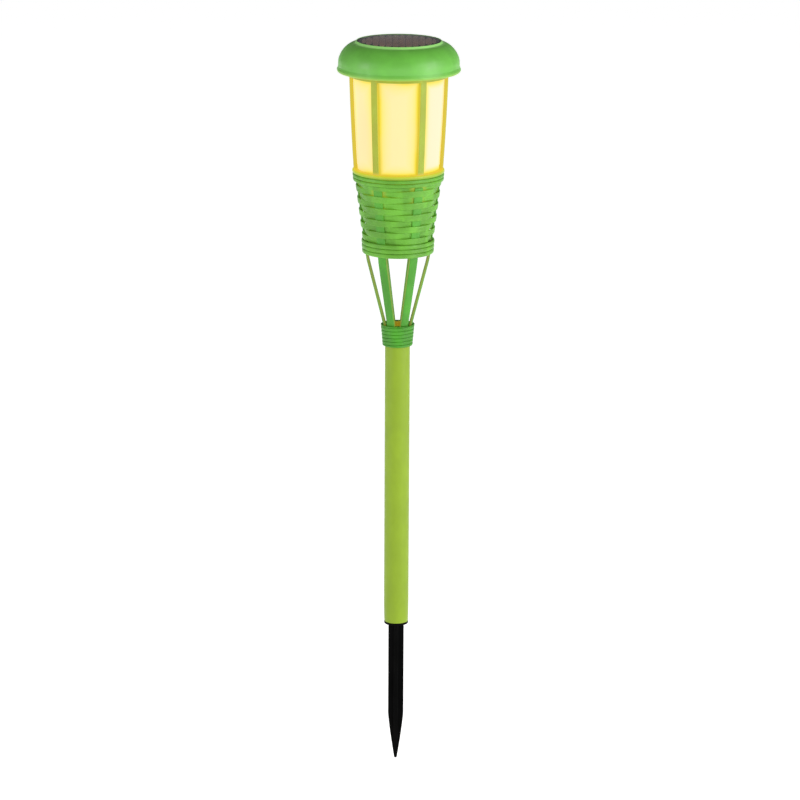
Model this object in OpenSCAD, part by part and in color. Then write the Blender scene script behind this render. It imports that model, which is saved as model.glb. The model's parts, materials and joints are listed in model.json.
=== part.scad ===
// Solar tiki torch: a lit lantern over a woven basket, carried by six struts on a tube pole,
// with a ground stake. Millimetres, +Z up. The origin is on the pole's axis at ground level,
// on the underside of the stake's flange. The front of the torch faces -Y.

/* [Ground stake] */
// Length of the stake below ground level
stake_len = 128.5; // [100:0.5:180]
// Width across the stake's crossed blades
stake_w = 13.8; // [12:0.2:16]
// Thickness of a stake blade
blade_t = 3.4; // [2.6:0.2:4]
// Length of the stake's tapered point
point_len = 44; // [30:1:60]
// Radius of the stake's flange
flange_r = 10.7; // [10.4:0.1:11.5]
// Thickness of the stake's flange
flange_t = 2; // [1.5:0.1:3]

/* [Pole] */
// Outer diameter of the pole tube
pole_d = 22; // [21.6:0.1:22.4]
// Wall of the pole tube
pole_wall = 1.2; // [1:0.1:1.4]
// Height of the pole's top end above the ground
pole_top = 256.5; // [150:0.5:400]
// Length of each spigot inside the pole
spigot_h = 36; // [20:1:50]
// Radial clearance of a spigot in the pole
spigot_fit = 0.05; // [0.02:0.01:0.1]

/* [Collar] */
// Number of wraps around the collar
wrap_count = 6; // [4:1:8]
// Height of one wrap
wrap_pitch = 3.2; // [2.8:0.1:3.4]
// Radial thickness of a wrap
wrap_t = 1.6; // [1.4:0.1:1.8]
// Outer radius of the lowest wrap
wrap_r = 13.4; // [13.4:0.1:14]
// Outer radius that the wraps gain per millimetre of height
wrap_flare = 0.088; // [0.07:0.002:0.1]

/* [Struts and basket] */
// Number of struts, an even number so that the weave alternates
strut_count = 6; // [6:2:6]
// Thickness of a strut below the basket
strut_t = 2.7; // [2.4:0.1:2.8]
// Thickness of a strut inside the weave
strut_t_top = 1.1; // [0.9:0.1:1.3]
// Width of a strut where it leaves the collar
strut_w_low = 7.8; // [7:0.1:7.8]
// Width of a strut at the basket's bottom
strut_w_mid = 8.5; // [8:0.1:9]
// Width of a strut at the basket's top
strut_w_top = 8.6; // [8:0.1:9]
// Height from the pole's top to the basket's bottom edge
basket_lift = 83.8; // [80:0.2:88]
// Number of woven rows
row_count = 10; // [6:2:10]
// Height that one woven row takes
row_pitch = 5.35; // [5:0.05:5.6]
// Thickness of a woven strip
strip_t = 0.9; // [0.8:0.1:1]
// Outer radius of the weave level with the middle of the lowest row
weave_r = 31.5; // [31:0.1:32]
// Outer radius that the weave gains per millimetre of height
weave_flare = 0.128; // [0.12:0.002:0.136]
// Height of one reed in the bottom rim
bottom_reed_h = 4.05; // [3.6:0.05:4.4]
// Height of one reed in the top rim
top_reed_h = 3.4; // [3.2:0.05:3.6]

/* [Lantern] */
// Height from the basket's top rim to the cap's lower edge
lantern_h = 85; // [70:1:100]
// Radius of the cage at its foot
cage_r_low = 38.9; // [38.6:0.1:39.2]
// Radius of the cage at its head
cage_r_top = 43; // [42.8:0.1:43.2]
// Width of a cage bar
bar_w = 6.4; // [5:0.2:8]
// Depth of a cage bar
bar_t = 3.4; // [3:0.1:3.6]
// Wall of the frosted diffuser
diffuser_t = 1.2; // [1:0.1:1.4]

/* [Cap] */
// Radius of the cap's side
cap_r = 52.6; // [52:0.1:53.5]
// Radius of the cap's lip
lip_r = 53.6; // [53.5:0.1:54.5]
// Height of the cap from its lower edge to its rim
cap_h = 26.9; // [26:0.1:28]
// Radius of the rim around the solar panel
rim_r = 37.4; // [37:0.1:38]
// Number of strips of solar cell
cell_count = 12; // [6:1:12]
// Angle that the cap turns to unlock
twist = 22; // [18:1:26]

/* [Hidden] */
$fn = 96;
slip = 0.1;                       // gap between faces that rest on each other
pole_r = pole_d / 2;
pole_ir = pole_r - pole_wall;
spigot_r = pole_ir - spigot_fit;
neck_h = 20;                      // length of the pole's necked lower end
neck_in = 0.4;                    // how far the neck draws in

collar_z = pole_top + slip;
collar_h = wrap_count * wrap_pitch;
collar_top = collar_z + collar_h;
foot_z = collar_z + 5;            // lower end of the struts, under the wraps

basket_z = pole_top + basket_lift;
reed_count = 3;
weave_z = basket_z + reed_count * bottom_reed_h;
rim_z = weave_z + row_count * row_pitch - 1.6;
rim_top = rim_z + reed_count * top_reed_h;
row_gap = 0.12;                   // gap between two rows
reed_t = 2;                       // radial thickness of a rim reed
face_back = strip_t + 0.15;       // depth of a strut's face behind the weave's outside
flare_slope = 0.252;              // outward slope of the struts below the basket
wrap_gap = 0.3;                   // space between a strut's face and the wraps
bend_z = basket_z - 6;            // where a strut bends to follow the basket
strut_top = rim_z - 1.4;
hoop_h = 3.2;
hoop_r = strut_face(basket_z) - strut_t - slip;
sleeve_back = face_back + strut_t_top + strip_t + 0.5;  // depth of the sleeve behind the weave

cage_z = rim_top + slip;
cap_z = cage_z + lantern_h;
cage_belly = 0.4;                 // outward bow of the cage at mid height
foot_ring_h = 0.6;                // how far the cage's foot ring stands above the basket
ring_h = 7;                       // height of the cage's head ring
ring_r = 43.6;                    // outer radius of the head ring
ring_ir = 39.9;                   // inner radius of the head ring
ring_rise = 3.5;                    // how far the head ring reaches up inside the cap
cage_top = cap_z + ring_rise;
latch_z = cage_top - 4;           // underside of the bayonet flange
latch_h = 2;
latch_r = 37.8;                   // inner radius of the bayonet flange
lug_count = 3;
lug_angle = 18;
lug_h = 2;
lug_r = ring_ir - 0.9;            // outer radius of the lugs, clear of the cage bars
lug_top = latch_z - 0.3;

plate_z = cage_top + 0.3;         // underside of the base plate
plate_t = 2;
plate_top = plate_z + plate_t;
plate_r = 50.1;
skirt_r = latch_r - 0.3;
skirt_wall = 1.8;
dome_z = cap_z + 8.4;             // where the cap's side turns into the dome
dome_power = 1.7;                 // roundness of the dome's curve
rim_h = 1.8;                      // height of the bevelled rim around the panel
cap_top = cap_z + cap_h;
seat_z = cap_top - 3.2;           // ledge that the solar panel lies on
seat_r = rim_r - 1;
roof_t = 1.8;
shell_t = 2.2;
ledge_z = plate_top + 1.1;        // shoulder inside the cap that the seal presses on
base_screw_ring = 46;             // radius of the circle of base screws
base_screw_count = 3;
base_screw_start = 30;            // angle of the first base screw
base_screw_r = 1.25;
base_screw_head = 2.6;
base_screw_len = 9;
boss_h = 8.5;                     // height of the bosses that the base screws bite into
gasket_h = 0.5;
board_h = 1.2;
cell_h = 0.3;
panel_r = seat_r - 0.2;
panel_z = seat_z + gasket_h;

pcb_z = plate_top + 4.6;
pcb_t = 1.6;
pcb_size = [40, 32.5];
pcb_front = -27;                  // front edge of the board
post_x = 16;                      // the board's posts stand at both sides of the axis
post_y = -14;
post_r = 2.4;
board_screw_r = 0.9;
board_hole_r = 1.1;
lead_x = -10;                     // hole that the panel's leads pass through
lead_y = -6;
wire_r = 0.6;
led_r = 2.5;
led_z = plate_z - 0.6;            // centre of the lamp's rounded tip
cell_y = 15;                      // distance of the battery's axis behind the pole's axis
cell_len = 49.2;
battery_r = 7.1;
battery_z = plate_z + 0.2 + battery_r;
bay_x = 26.3;                     // half length of the battery bay
bay_y = 7.2;                      // half width of the battery bay
tray_wall = 1.1;
tray_top = battery_z + bay_y + tray_wall;
door_t = 1.6;
door_z = plate_z - slip - door_t;
door_screw_x = 29;
door_screw_r = 0.9;
switch_y = -21;
switch_travel = 3;
knob_x = -switch_travel / 2;      // the knob rests at its "on" end

function weave_out(z) = weave_r + weave_flare * (z - weave_z - row_pitch / 2);
function strut_face(z) = z > bend_z
    ? weave_out(z) - face_back
    : max(weave_out(bend_z) - face_back - flare_slope * (bend_z - z), wrap_out(z) - wrap_t - wrap_gap);
function wrap_out(z) = wrap_r + wrap_flare * (z - collar_z - wrap_pitch / 2);
function bottom_rim_out(z) = 31.4 + 0.06 * (z - basket_z);
function top_rim_out(z) = 39.6 + 0.073 * (z - rim_z);
function cage_out(z) = let (t = (z - cage_z) / (cap_z - cage_z))
    cage_r_low + (cage_r_top - cage_r_low) * t + 4 * cage_belly * t * (1 - t);

STRUTS = [for (i = [1:strut_count]) str("strut_", i)];
ROWS = [for (i = [1:row_count]) str("weave_row_", i)];
BOTTOM_REEDS = [for (i = [1:reed_count]) str("bottom_reed_", i)];
TOP_REEDS = [for (i = [1:reed_count]) str("top_reed_", i)];

leaf = "limegreen";
lime = "yellowgreen";

// ---- shared shapes ----

// points of an oval centred on [r, z], rx and rz its half sizes
function oval(r, z, rx, rz, n = 16) =
    [for (i = [0:n - 1]) [r + rx * cos(360 * i / n), z + rz * sin(360 * i / n)]];

// a ring of oval section with outer radius r, standing on z
module reed(r, z, t, h)
    rotate_extrude() polygon(oval(r - t / 2, z + h / 2, t / 2, h / 2 - 0.03));

// a copy of the children at each of n places round the axis
module around(n, start = 0)
    for (i = [0:n - 1]) rotate([0, 0, start + 360 * i / n]) children();

// a piece of a tube that spans the given angle, centred on +X
module sector(r_out, r_in, angle, z, h)
    rotate([0, 0, -angle / 2]) rotate_extrude(angle = angle)
        translate([r_in, z]) square([r_out - r_in, h]);

// a tube between two radii
module tube(r_out, r_in, z, h)
    translate([0, 0, z]) difference() {
        cylinder(r = r_out, h = h);
        translate([0, 0, -1]) cylinder(r = r_in, h = h + 2);
    }

function unit(v) = v / norm(v);

// direction of a route at its point i, halfway between the legs that meet there
function heading(points, i) =
    unit(points[min(i + 1, len(points) - 1)] - points[max(i - 1, 0)]);

// a wire of radius r that follows the points, as an octagonal tube
module wire(points, r) {
    sides = 8;
    count = len(points);
    rings = [for (i = [0:count - 1])
        let (d = heading(points, i), u = unit(cross(d, [1, 0.4, 0.2])), v = cross(d, u))
        for (k = [0:sides - 1]) points[i] + r * (cos(360 * k / sides) * u + sin(360 * k / sides) * v)];
    walls = [for (i = [0:count - 2], k = [0:sides - 1], half = [0, 1])
        let (a = i * sides, n = (k + 1) % sides)
        half == 0 ? [a + k, a + n, a + n + sides] : [a + k, a + n + sides, a + k + sides]];
    first = [for (k = [sides - 1:-1:0]) k];
    last = [for (k = [0:sides - 1]) (count - 1) * sides + k];
    polyhedron(rings, concat([first], walls, [last]), convexity = 4);
}

// a flat-headed screw that points up, its head flush with z = 0
module flat_screw(r, len, head_r) {
    difference() {
        cylinder(r1 = head_r, r2 = r, h = head_r - r, $fn = 32);
        for (a = [0, 90]) rotate([0, 0, a])
            translate([-head_r * 0.6, -0.3, -0.1]) cube([head_r * 1.2, 0.6, 0.6]);
    }
    cylinder(r = r, h = len - 1, $fn = 32);
    translate([0, 0, len - 1]) cylinder(r1 = r, r2 = r * 0.3, h = 1, $fn = 32);
}

// ---- stake and pole ----

module blade() {
    half = stake_w / 2;
    outline = [
        [half, 0.5], [half, point_len - stake_len], [half * 0.93, point_len - stake_len - 7],
        [1.9, 2.2 - stake_len], [1.3, 0.7 - stake_len], [0, -stake_len]];
    rotate([90, 0, 0]) translate([0, 0, -blade_t / 2]) linear_extrude(height = blade_t)
        polygon(concat(outline, [for (i = [4:-1:0]) [-outline[i][0], outline[i][1]]]));
}

module ground_stake() color("#161616") {
    blade();
    rotate([0, 0, 90]) blade();
    cylinder(r = flange_r, h = flange_t);
    difference() {
        union() {
            cylinder(r = spigot_r, h = flange_t + spigot_h - 1.2);
            translate([0, 0, flange_t + spigot_h - 1.2])
                cylinder(r1 = spigot_r, r2 = spigot_r - 1, h = 1.2);
        }
        translate([0, 0, flange_t + 3]) cylinder(r = spigot_r - 2.2, h = spigot_h);
    }
}

module pole_tube() color(lime) {
    foot = flange_t + slip;
    rotate_extrude() polygon([
        [pole_ir, foot], [pole_r - neck_in, foot], [pole_r - neck_in * 0.4, foot + neck_h / 2],
        [pole_r, foot + neck_h], [pole_r, pole_top], [pole_ir, pole_top]]);
}

// ---- collar, struts and basket ----

module collar_core() color(leaf) {
    wall = 1.6;
    low = strut_face(foot_z) - strut_t - slip;
    high = strut_face(collar_top - 1) - strut_t - slip;
    rotate_extrude() polygon([
        [0, collar_z + 1.4], [spigot_r - 2, collar_z + 1.4], [spigot_r - 2, pole_top - spigot_h],
        [spigot_r - 0.8, pole_top - spigot_h], [spigot_r, pole_top - spigot_h + 1],
        [spigot_r, collar_z], [wrap_r - wrap_t - 0.2, collar_z],
        [wrap_r - wrap_t - 0.2, collar_z + 2.6], [low, collar_z + 2.6], [low, foot_z],
        [high, collar_top - 0.2], [high - wall, collar_top - 0.2],
        [low - wall, collar_z + 3.4], [0, collar_z + 3.4]]);
}

module collar_wraps() color(leaf)
    for (i = [0:wrap_count - 1]) {
        z = collar_z + i * wrap_pitch;
        reed(wrap_out(z + wrap_pitch / 2), z, wrap_t, wrap_pitch);
    }

// one strut, curved to fit the collar and the basket: up the collar, out along the flare
// and up inside the weave
module strut(i) color(leaf) {
    heights = [foot_z, collar_top - 1, collar_top, bend_z, weave_z, strut_top];
    thicknesses = [strut_t, strut_t, strut_t, strut_t, strut_t_top, strut_t_top];
    side = concat([for (z = heights) [strut_face(z), z]],
                  [for (k = [5:-1:0]) [strut_face(heights[k]) - thicknesses[k], heights[k]]]);
    half_low = strut_w_low / 2;
    half_mid = strut_w_mid / 2;
    half_top = strut_w_top / 2;
    front = [[half_low, foot_z], [half_low, collar_top], [half_mid, basket_z],
             [half_top, strut_top], [-half_top, strut_top], [-half_mid, basket_z],
             [-half_low, collar_top], [-half_low, foot_z]];
    rotate([0, 0, 360 * (i - 1) / strut_count]) intersection() {
        rotate_extrude() polygon(side);
        rotate([90, 0, 90]) linear_extrude(height = 60) polygon(front);
    }
}

// ring inside the struts that the diffuser stands on
module floor_hoop() color(leaf) {
    tube(hoop_r, hoop_r - 3, basket_z, hoop_h);
}

module bottom_reed(i) color(leaf) {
    z = basket_z + (i - 1) * bottom_reed_h;
    reed(bottom_rim_out(z + bottom_reed_h / 2), z, reed_t, bottom_reed_h);
}

module top_reed(i) color(leaf) {
    z = rim_z + (i - 1) * top_reed_h;
    reed(top_rim_out(z + top_reed_h / 2), z, reed_t, top_reed_h);
}

// one woven strip: over and under the struts by turns, against the row below
module weave_row(i) color(leaf) {
    steps = 60;
    z = weave_z + (i - 1) * row_pitch + row_gap / 2;
    top = min(z + row_pitch - row_gap, rim_z - row_gap / 2);
    swing = (face_back + strut_t_top + slip) / 2;
    middle = weave_out(z) - strip_t / 2 - swing;
    side = i % 2 == 0 ? 1 : -1;
    lean = weave_out(top) / weave_out(z);
    path = [for (k = [0:steps - 1]) let (a = 360 * k / steps)
        [middle + swing * side * max(-1, min(1, 1.5 * cos(a * strut_count / 2))), a]];
    translate([0, 0, z]) linear_extrude(height = top - z, scale = lean) difference() {
        polygon([for (p = path) (p[0] + strip_t / 2) * [cos(p[1]), sin(p[1])]]);
        polygon([for (p = path) (p[0] - strip_t / 2) * [cos(p[1]), sin(p[1])]]);
    }
}

// ---- lantern ----

module cage_bar() {
    steps = 8;
    reach = cage_top - ring_h / 2 - cage_z;
    heights = [for (k = [0:steps]) cage_z + reach * k / steps];
    side = concat([for (z = heights) [cage_out(z), z]],
                  [for (k = [steps:-1:0]) [cage_out(heights[k]) - bar_t, heights[k]]]);
    rotate([90, 0, 0]) translate([0, 0, -bar_w / 2]) linear_extrude(height = bar_w) polygon(side);
}

module cage_foot_ring() {
    depth = rim_top - rim_z - 0.8;
    rotate_extrude() polygon([
        [top_rim_out(rim_z) - reed_t - 2.2, cage_z - depth],
        [top_rim_out(rim_z) - reed_t - 0.2, cage_z - depth],
        [top_rim_out(rim_top) - reed_t - 0.2, cage_z], [cage_out(cage_z) + 0.1, cage_z],
        [cage_out(cage_z) + 0.1, cage_z + foot_ring_h],
        [cage_out(cage_z) - bar_t, cage_z + foot_ring_h]]);
}

module cage_head_ring() {
    foot = cage_top - ring_h;
    difference() {
        rotate_extrude() polygon([
            [ring_ir, foot], [ring_r - 0.6, foot], [ring_r, foot + 0.6],
            [ring_r, cage_top - 0.6], [ring_r - 0.6, cage_top - slip], [ring_ir, cage_top - slip],
            [ring_ir, latch_z + latch_h], [latch_r, latch_z + latch_h], [latch_r, latch_z],
            [ring_ir, latch_z]]);
        around(lug_count, twist)
            sector(ring_ir - 0.2, latch_r - 1, lug_angle + 3, latch_z - 1, latch_h + 2);
    }
    // stops that the lugs turn between
    around(lug_count) for (side = [-1, 1]) {
        stop_angle = side < 0 ? -lug_angle / 2 - 2.5 : twist + lug_angle / 2 + 2.5;
        rotate([0, 0, stop_angle])
            sector(ring_ir + 0.5, latch_r + 0.2, 4, latch_z - lug_h - 0.4, lug_h + 0.6);
    }
}

module lantern_cage() color(leaf) {
    cage_foot_ring();
    around(strut_count) cage_bar();
    cage_head_ring();
}

// frosted sleeve, open at both ends, from the floor hoop to the head ring
module diffuser() color("lemonchiffon") {
    foot = basket_z + hoop_h + slip;
    neck = rim_z - 1.2;
    heights = [cage_z + 1.5, cage_z + 22, cage_z + 43, cage_z + 63, cage_top - ring_h - 0.4];
    side = concat([[hoop_r - 1, foot], [weave_out(neck) - sleeve_back, neck]],
                  [for (z = heights) [cage_out(z) - bar_t - 0.2, z]]);
    rotate_extrude() polygon(concat(side,
        [for (k = [len(side) - 1:-1:0]) [side[k][0] - diffuser_t, side[k][1]]]));
}

// ---- cap ----

// quarter of a superellipse from [r0, z0] at its side to [r1, z1] at its top
function dome(r0, z0, r1, z1, n = 14) =
    [for (k = [0:n]) let (a = 90 * k / n)
        [r1 + (r0 - r1) * pow(cos(a), 2 / dome_power), z0 + (z1 - z0) * pow(sin(a), 2 / dome_power)]];

module cap_shell() color(leaf) {
    inner_r = cap_r - shell_t;
    inside = dome(inner_r - 2, ledge_z + 2.5, 34, seat_z - roof_t);
    difference() {
        union() {
            rotate_extrude() polygon(concat(
                [[inner_r, cap_z], [cap_r - 0.2, cap_z], [lip_r - 0.4, cap_z + 0.7],
                 [lip_r, cap_z + 1.5], [lip_r, cap_z + 2.4], [lip_r - 0.4, cap_z + 3.2],
                 [cap_r, cap_z + 4.6]],
                dome(cap_r, dome_z, rim_r + 0.6, cap_top - rim_h),
                [[rim_r - 0.5, cap_top], [seat_r, cap_top], [seat_r, seat_z], [0, seat_z],
                 [0, seat_z - roof_t]],
                [for (k = [len(inside) - 1:-1:0]) inside[k]],
                [[inner_r - 2, ledge_z], [inner_r, ledge_z]]));
            around(base_screw_count, base_screw_start)
                translate([base_screw_ring, 0, plate_top + slip])
                    cylinder(r = base_screw_head, h = boss_h);
        }
        around(base_screw_count, base_screw_start)
            translate([base_screw_ring, 0, plate_top - 1]) cylinder(r = base_screw_r + 0.05, h = boss_h);
        translate([lead_x, lead_y, seat_z - roof_t - 1]) cylinder(r = 3, h = roof_t + 2);
    }
}

module panel_gasket() color("#222222")
    tube(panel_r, panel_r - 3, seat_z, gasket_h);

module panel_board() color("#3b4a3a")
    translate([0, 0, panel_z]) cylinder(r = panel_r, h = board_h);

// strips of cell, cut to the round board
module solar_cells() color("#3a2f3c") {
    pitch = 2 * (panel_r - 2) / cell_count;
    intersection() {
        translate([0, 0, panel_z + board_h]) cylinder(r = panel_r - 2, h = cell_h);
        for (k = [0:cell_count - 1])
            translate([-panel_r + 2 + pitch * (k + 0.06), -panel_r, panel_z + board_h])
                cube([pitch * 0.88, 2 * panel_r, cell_h]);
    }
}

// clear resin over the cells
module panel_cover() color("#8a8084", 0.5) {
    foot = panel_z + board_h;
    difference() {
        translate([0, 0, foot]) cylinder(r = panel_r, h = cap_top - 0.1 - foot);
        translate([0, 0, foot - 1]) cylinder(r = panel_r - 1.4, h = 1 + cell_h + 0.1);
    }
}

module panel_leads() color("firebrick")
    for (side = [-1, 1])
        wire([[lead_x + 1.2 * side, lead_y, panel_z - 0.6], [lead_x + 1.2 * side, lead_y, pcb_z + 9],
              [lead_x - 1.5 + 1.5 * side, lead_y - 2, pcb_z + 4],
              [lead_x - 2.5 + 1.5 * side, lead_y - 3, pcb_z + pcb_t + wire_r]], wire_r);

// shape of the battery bay seen from above
module bay_outline(grow)
    translate([-bay_x - grow, cell_y - bay_y - grow])
        square([2 * (bay_x + grow), 2 * (bay_y + grow)]);

module base_plate() color("#242424") {
    difference() {
        union() {
            translate([0, 0, plate_z]) cylinder(r = plate_r, h = plate_t);
            tube(skirt_r, skirt_r - skirt_wall, lug_top - lug_h, plate_z + 0.5 - lug_top + lug_h);
            for (side = [-1, 1]) translate([side * post_x, post_y, plate_top - 0.5])
                cylinder(r = post_r, h = pcb_z - plate_top + 0.4, $fn = 32);
        }
        translate([0, 0, plate_z - 1]) cylinder(r = 5, h = plate_t + 2);
        translate([0, 0, plate_z - 1]) linear_extrude(height = plate_t + 2) bay_outline(0);
        translate([-switch_travel / 2 - 2, switch_y - 1.8, plate_z - 1])
            cube([switch_travel + 4, 3.6, plate_t + 2]);
        around(base_screw_count, base_screw_start) translate([base_screw_ring, 0, plate_z - 0.01]) {
            cylinder(r1 = base_screw_head + 0.2, r2 = base_screw_r + 0.1, h = 1.5);
            cylinder(r = base_screw_r + 0.1, h = plate_t + 1);
        }
        for (side = [-1, 1]) {
            translate([side * post_x, post_y, plate_top])
                cylinder(r = board_screw_r + 0.05, h = 9, $fn = 32);
            translate([side * door_screw_x, cell_y, plate_z - 1])
                cylinder(r = door_screw_r + 0.15, h = plate_t + 2, $fn = 32);
        }
    }
    // bayonet lugs
    around(lug_count)
        sector(lug_r, skirt_r - 0.5, lug_angle, lug_top - lug_h, lug_h);
}

// sealing ring squeezed between the plate and the cap's shoulder
module cap_seal() color("#111111")
    tube(cap_r - shell_t - 0.2, base_screw_ring + base_screw_head + 0.2, plate_top + 0.02, 1.04);

module base_screws() color("silver")
    around(base_screw_count, base_screw_start)
        translate([base_screw_ring, 0, plate_z]) flat_screw(base_screw_r, base_screw_len, base_screw_head);

module reflector() color("white")
    rotate_extrude() polygon([
        [3.2, plate_top], [4.9, plate_top], [4.9, plate_z - slip], [9.4, plate_z - 5],
        [8.4, plate_z - 5], [3.2, plate_z]]);

module led_lamp() color("ivory") {
    translate([0, 0, led_z]) cylinder(r = led_r, h = 4.2);
    translate([0, 0, led_z]) sphere(r = led_r);
    translate([0, 0, led_z + 3.4]) cylinder(r = led_r + 0.4, h = 0.8);
    for (x = [-1.6, 1.1])
        translate([x, -0.25, led_z + 4]) cube([0.5, 0.5, pcb_z - led_z - 4]);
}

module circuit_board() color("darkgreen") difference() {
    translate([-pcb_size[0] / 2, pcb_front, pcb_z]) cube([pcb_size[0], pcb_size[1], pcb_t]);
    for (side = [-1, 1]) translate([side * post_x, post_y, pcb_z - 1])
        cylinder(r = board_hole_r, h = pcb_t + 2, $fn = 32);
}

module board_screws() color("silver")
    for (side = [-1, 1]) translate([side * post_x, post_y, pcb_z + pcb_t + 0.05]) {
        difference() {
            cylinder(r = 2 * board_screw_r, h = 1.3, $fn = 32);
            translate([-1.4, -0.25, 0.85]) cube([2.8, 0.5, 1]);
        }
        translate([0, 0, -4.95]) cylinder(r = board_screw_r, h = 5.2, $fn = 32);
    }

// driver chip, coil, capacitor and resistor on top of the board
module board_parts() {
    top = pcb_z + pcb_t;
    color("#202020") translate([-3, -20, top]) cube([6, 5, 1.6]);
    color("#3a2a1a") translate([8, -8, top]) cylinder(r = 3.2, h = 4.2);
    color("navy") translate([8, -21, top]) cylinder(r = 2.5, h = 7);
    color("tan") translate([-9, -2, top]) cube([6, 2.2, 1.2]);
}

module switch_housing() color("#2c2c2c") difference() {
    translate([-6.2, switch_y - 3, plate_top + 0.2]) cube([12.4, 6, pcb_z - plate_top - 0.3]);
    translate([-switch_travel / 2 - 1.6, switch_y - 1.6, plate_top])
        cube([switch_travel + 3.2, 3.2, 2.4]);
}

// slide switch knob, rounded below so that a thumb can push it
module switch_knob() color("orangered") {
    translate([knob_x - 1.3, switch_y - 1.3, plate_z - 0.6]) cube([2.6, 2.6, plate_t + 2.2]);
    difference() {
        translate([knob_x - 2.2, switch_y - 1.9, plate_z - 2.8]) cube([4.4, 3.8, 2.5]);
        for (k = [-1:1]) translate([knob_x - 0.25 + k * 1.2, switch_y - 2.4, plate_z - 3.3])
            cube([0.5, 4.8, 1]);
    }
}

module battery_tray() color("#303030") {
    difference() {
        translate([0, 0, plate_top + 0.05])
            linear_extrude(height = tray_top - plate_top) bay_outline(tray_wall);
        translate([0, 0, plate_top - 1])
            linear_extrude(height = tray_top - tray_wall - plate_top + 1) bay_outline(0);
    }
    for (side = [-1, 1]) difference() {
        translate([side * door_screw_x - 2.4, cell_y - 3, plate_top + 0.05]) cube([4.8, 6, 3]);
        translate([side * door_screw_x, cell_y, plate_top - 1])
            cylinder(r = door_screw_r + 0.05, h = 6, $fn = 32);
        translate([-bay_x, cell_y - 4, plate_top - 1]) cube([2 * bay_x, 8, 6]);
    }
}

module battery_cell() color("seagreen")
    translate([-cell_len / 2 + 0.6, cell_y, battery_z]) rotate([0, 90, 0]) {
        cylinder(r = battery_r, h = cell_len - 1.2);
        cylinder(r = 2.7, h = cell_len);
    }

// coil that presses on the battery's flat end
module battery_spring() color("silver") {
    coils = 3;
    gap = (bay_x - cell_len / 2 + 0.6 - 0.5) / coils;
    translate([-bay_x + 0.05, cell_y, battery_z]) rotate([0, 90, 0]) {
        cylinder(r = 5, h = 0.4);
        for (k = [0:coils - 1])
            translate([0, 0, 0.4 + gap * k]) rotate_extrude()
                translate([4.2 - k * 0.8, gap / 2]) circle(r = gap / 2 - 0.01, $fn = 16);
    }
}

module battery_contact() color("silver")
    translate([cell_len / 2 + 0.65, cell_y - 5, battery_z - 5])
        cube([bay_x - cell_len / 2 - 0.7, 10, 10]);

module battery_leads() color("black")
    for (side = [-1, 1])
        wire([[side * (bay_x + tray_wall + 0.7), cell_y - 4, plate_top + 6],
              [side * (bay_x + tray_wall + 0.7), 4, plate_top + 6.6],
              [side * 22, -3, pcb_z + pcb_t + 1.4], [side * 18, -3, pcb_z + pcb_t + 0.7]], wire_r);

module battery_door() color("#303030") difference() {
    translate([0, 0, door_z]) linear_extrude(height = door_t) intersection() {
        translate([-door_screw_x - 3, cell_y - bay_y - 1])
            square([2 * door_screw_x + 6, 2 * bay_y + 2]);
        circle(r = skirt_r - skirt_wall - 0.5);
    }
    for (side = [-1, 1]) translate([side * door_screw_x, cell_y, door_z - 0.01]) {
        cylinder(r1 = 2 * door_screw_r + 0.3, r2 = door_screw_r + 0.15, h = 1.05, $fn = 32);
        cylinder(r = door_screw_r + 0.15, h = door_t + 1, $fn = 32);
    }
    for (k = [-2:2]) translate([-4, cell_y + k * 2 - 0.4, door_z - 0.4]) cube([8, 0.8, 0.8]);
}

module door_screws() color("silver")
    for (side = [-1, 1]) translate([side * door_screw_x, cell_y, door_z])
        flat_screw(door_screw_r, 6, 2 * door_screw_r + 0.1);

// ---- what is drawn ----

ground_stake();
pole_tube();
collar_core();
collar_wraps();
for (i = [1:strut_count]) strut(i);
floor_hoop();
for (i = [1:reed_count]) bottom_reed(i);
for (i = [1:row_count]) weave_row(i);
for (i = [1:reed_count]) top_reed(i);
lantern_cage();
diffuser();
cap_shell();
panel_gasket();
panel_board();
solar_cells();
panel_cover();
panel_leads();
base_plate();
cap_seal();
base_screws();
reflector();
led_lamp();
circuit_board();
board_screws();
board_parts();
switch_housing();
switch_knob();
battery_tray();
battery_cell();
battery_spring();
battery_contact();
battery_leads();
battery_door();
door_screws();
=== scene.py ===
"""Solar tiki torch: a glowing lantern under a domed solar cap, on a woven basket that six struts
carry above a tube pole with a black ground stake. Metres, +Z up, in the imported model's frame."""

import json
import math

import bmesh
import bpy
import numpy as np
from mathutils import Matrix, Vector


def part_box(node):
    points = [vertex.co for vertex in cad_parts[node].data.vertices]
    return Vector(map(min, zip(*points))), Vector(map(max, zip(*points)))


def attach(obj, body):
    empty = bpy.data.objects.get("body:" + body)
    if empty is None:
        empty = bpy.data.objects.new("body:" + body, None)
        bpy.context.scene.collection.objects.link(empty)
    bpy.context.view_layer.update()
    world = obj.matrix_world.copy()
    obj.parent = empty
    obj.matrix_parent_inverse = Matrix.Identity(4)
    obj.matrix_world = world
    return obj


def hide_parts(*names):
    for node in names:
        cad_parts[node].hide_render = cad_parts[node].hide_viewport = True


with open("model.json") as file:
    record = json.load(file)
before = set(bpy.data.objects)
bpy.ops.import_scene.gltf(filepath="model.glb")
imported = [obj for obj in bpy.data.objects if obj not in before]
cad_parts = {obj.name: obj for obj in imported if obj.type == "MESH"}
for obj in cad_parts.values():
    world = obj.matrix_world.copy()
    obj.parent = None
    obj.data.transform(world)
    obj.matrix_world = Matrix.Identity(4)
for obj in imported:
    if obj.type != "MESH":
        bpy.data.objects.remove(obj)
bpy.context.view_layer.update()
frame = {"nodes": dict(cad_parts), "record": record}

MM = 0.001
TURN = 2 * math.pi


# ---- sizes that the frame doesn't give, as the CAD has them ----

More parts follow.
